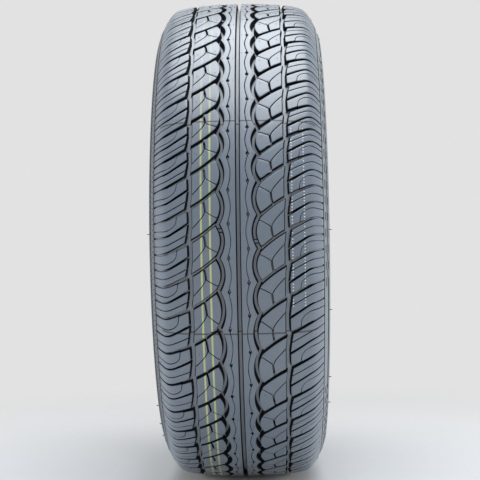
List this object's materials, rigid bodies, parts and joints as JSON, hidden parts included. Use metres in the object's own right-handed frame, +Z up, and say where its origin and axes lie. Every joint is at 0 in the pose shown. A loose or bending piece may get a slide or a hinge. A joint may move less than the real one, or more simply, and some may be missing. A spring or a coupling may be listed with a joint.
{
  "type": "car tyre",
  "caption": "Hollow car tyre with two rim beads, rounded sidewalls and an all-round tread of ribs, slanted blocks and grooved shoulders.",
  "frame": {"origin": "wheel centre, on the spin axis midway between the two beads", "axes": "+Y along the spin axis, +Z up with the tyre upright on its tread, +X towards the tread face that the picture shows"},
  "size_m": [0.6269, 0.207, 0.627],
  "materials": {
    "rubber": "moulded black rubber with a slight grey sheen"
  },
  "bodies": {
    "root": {"tyre": "rubber"}
  },
  "joints": []
}
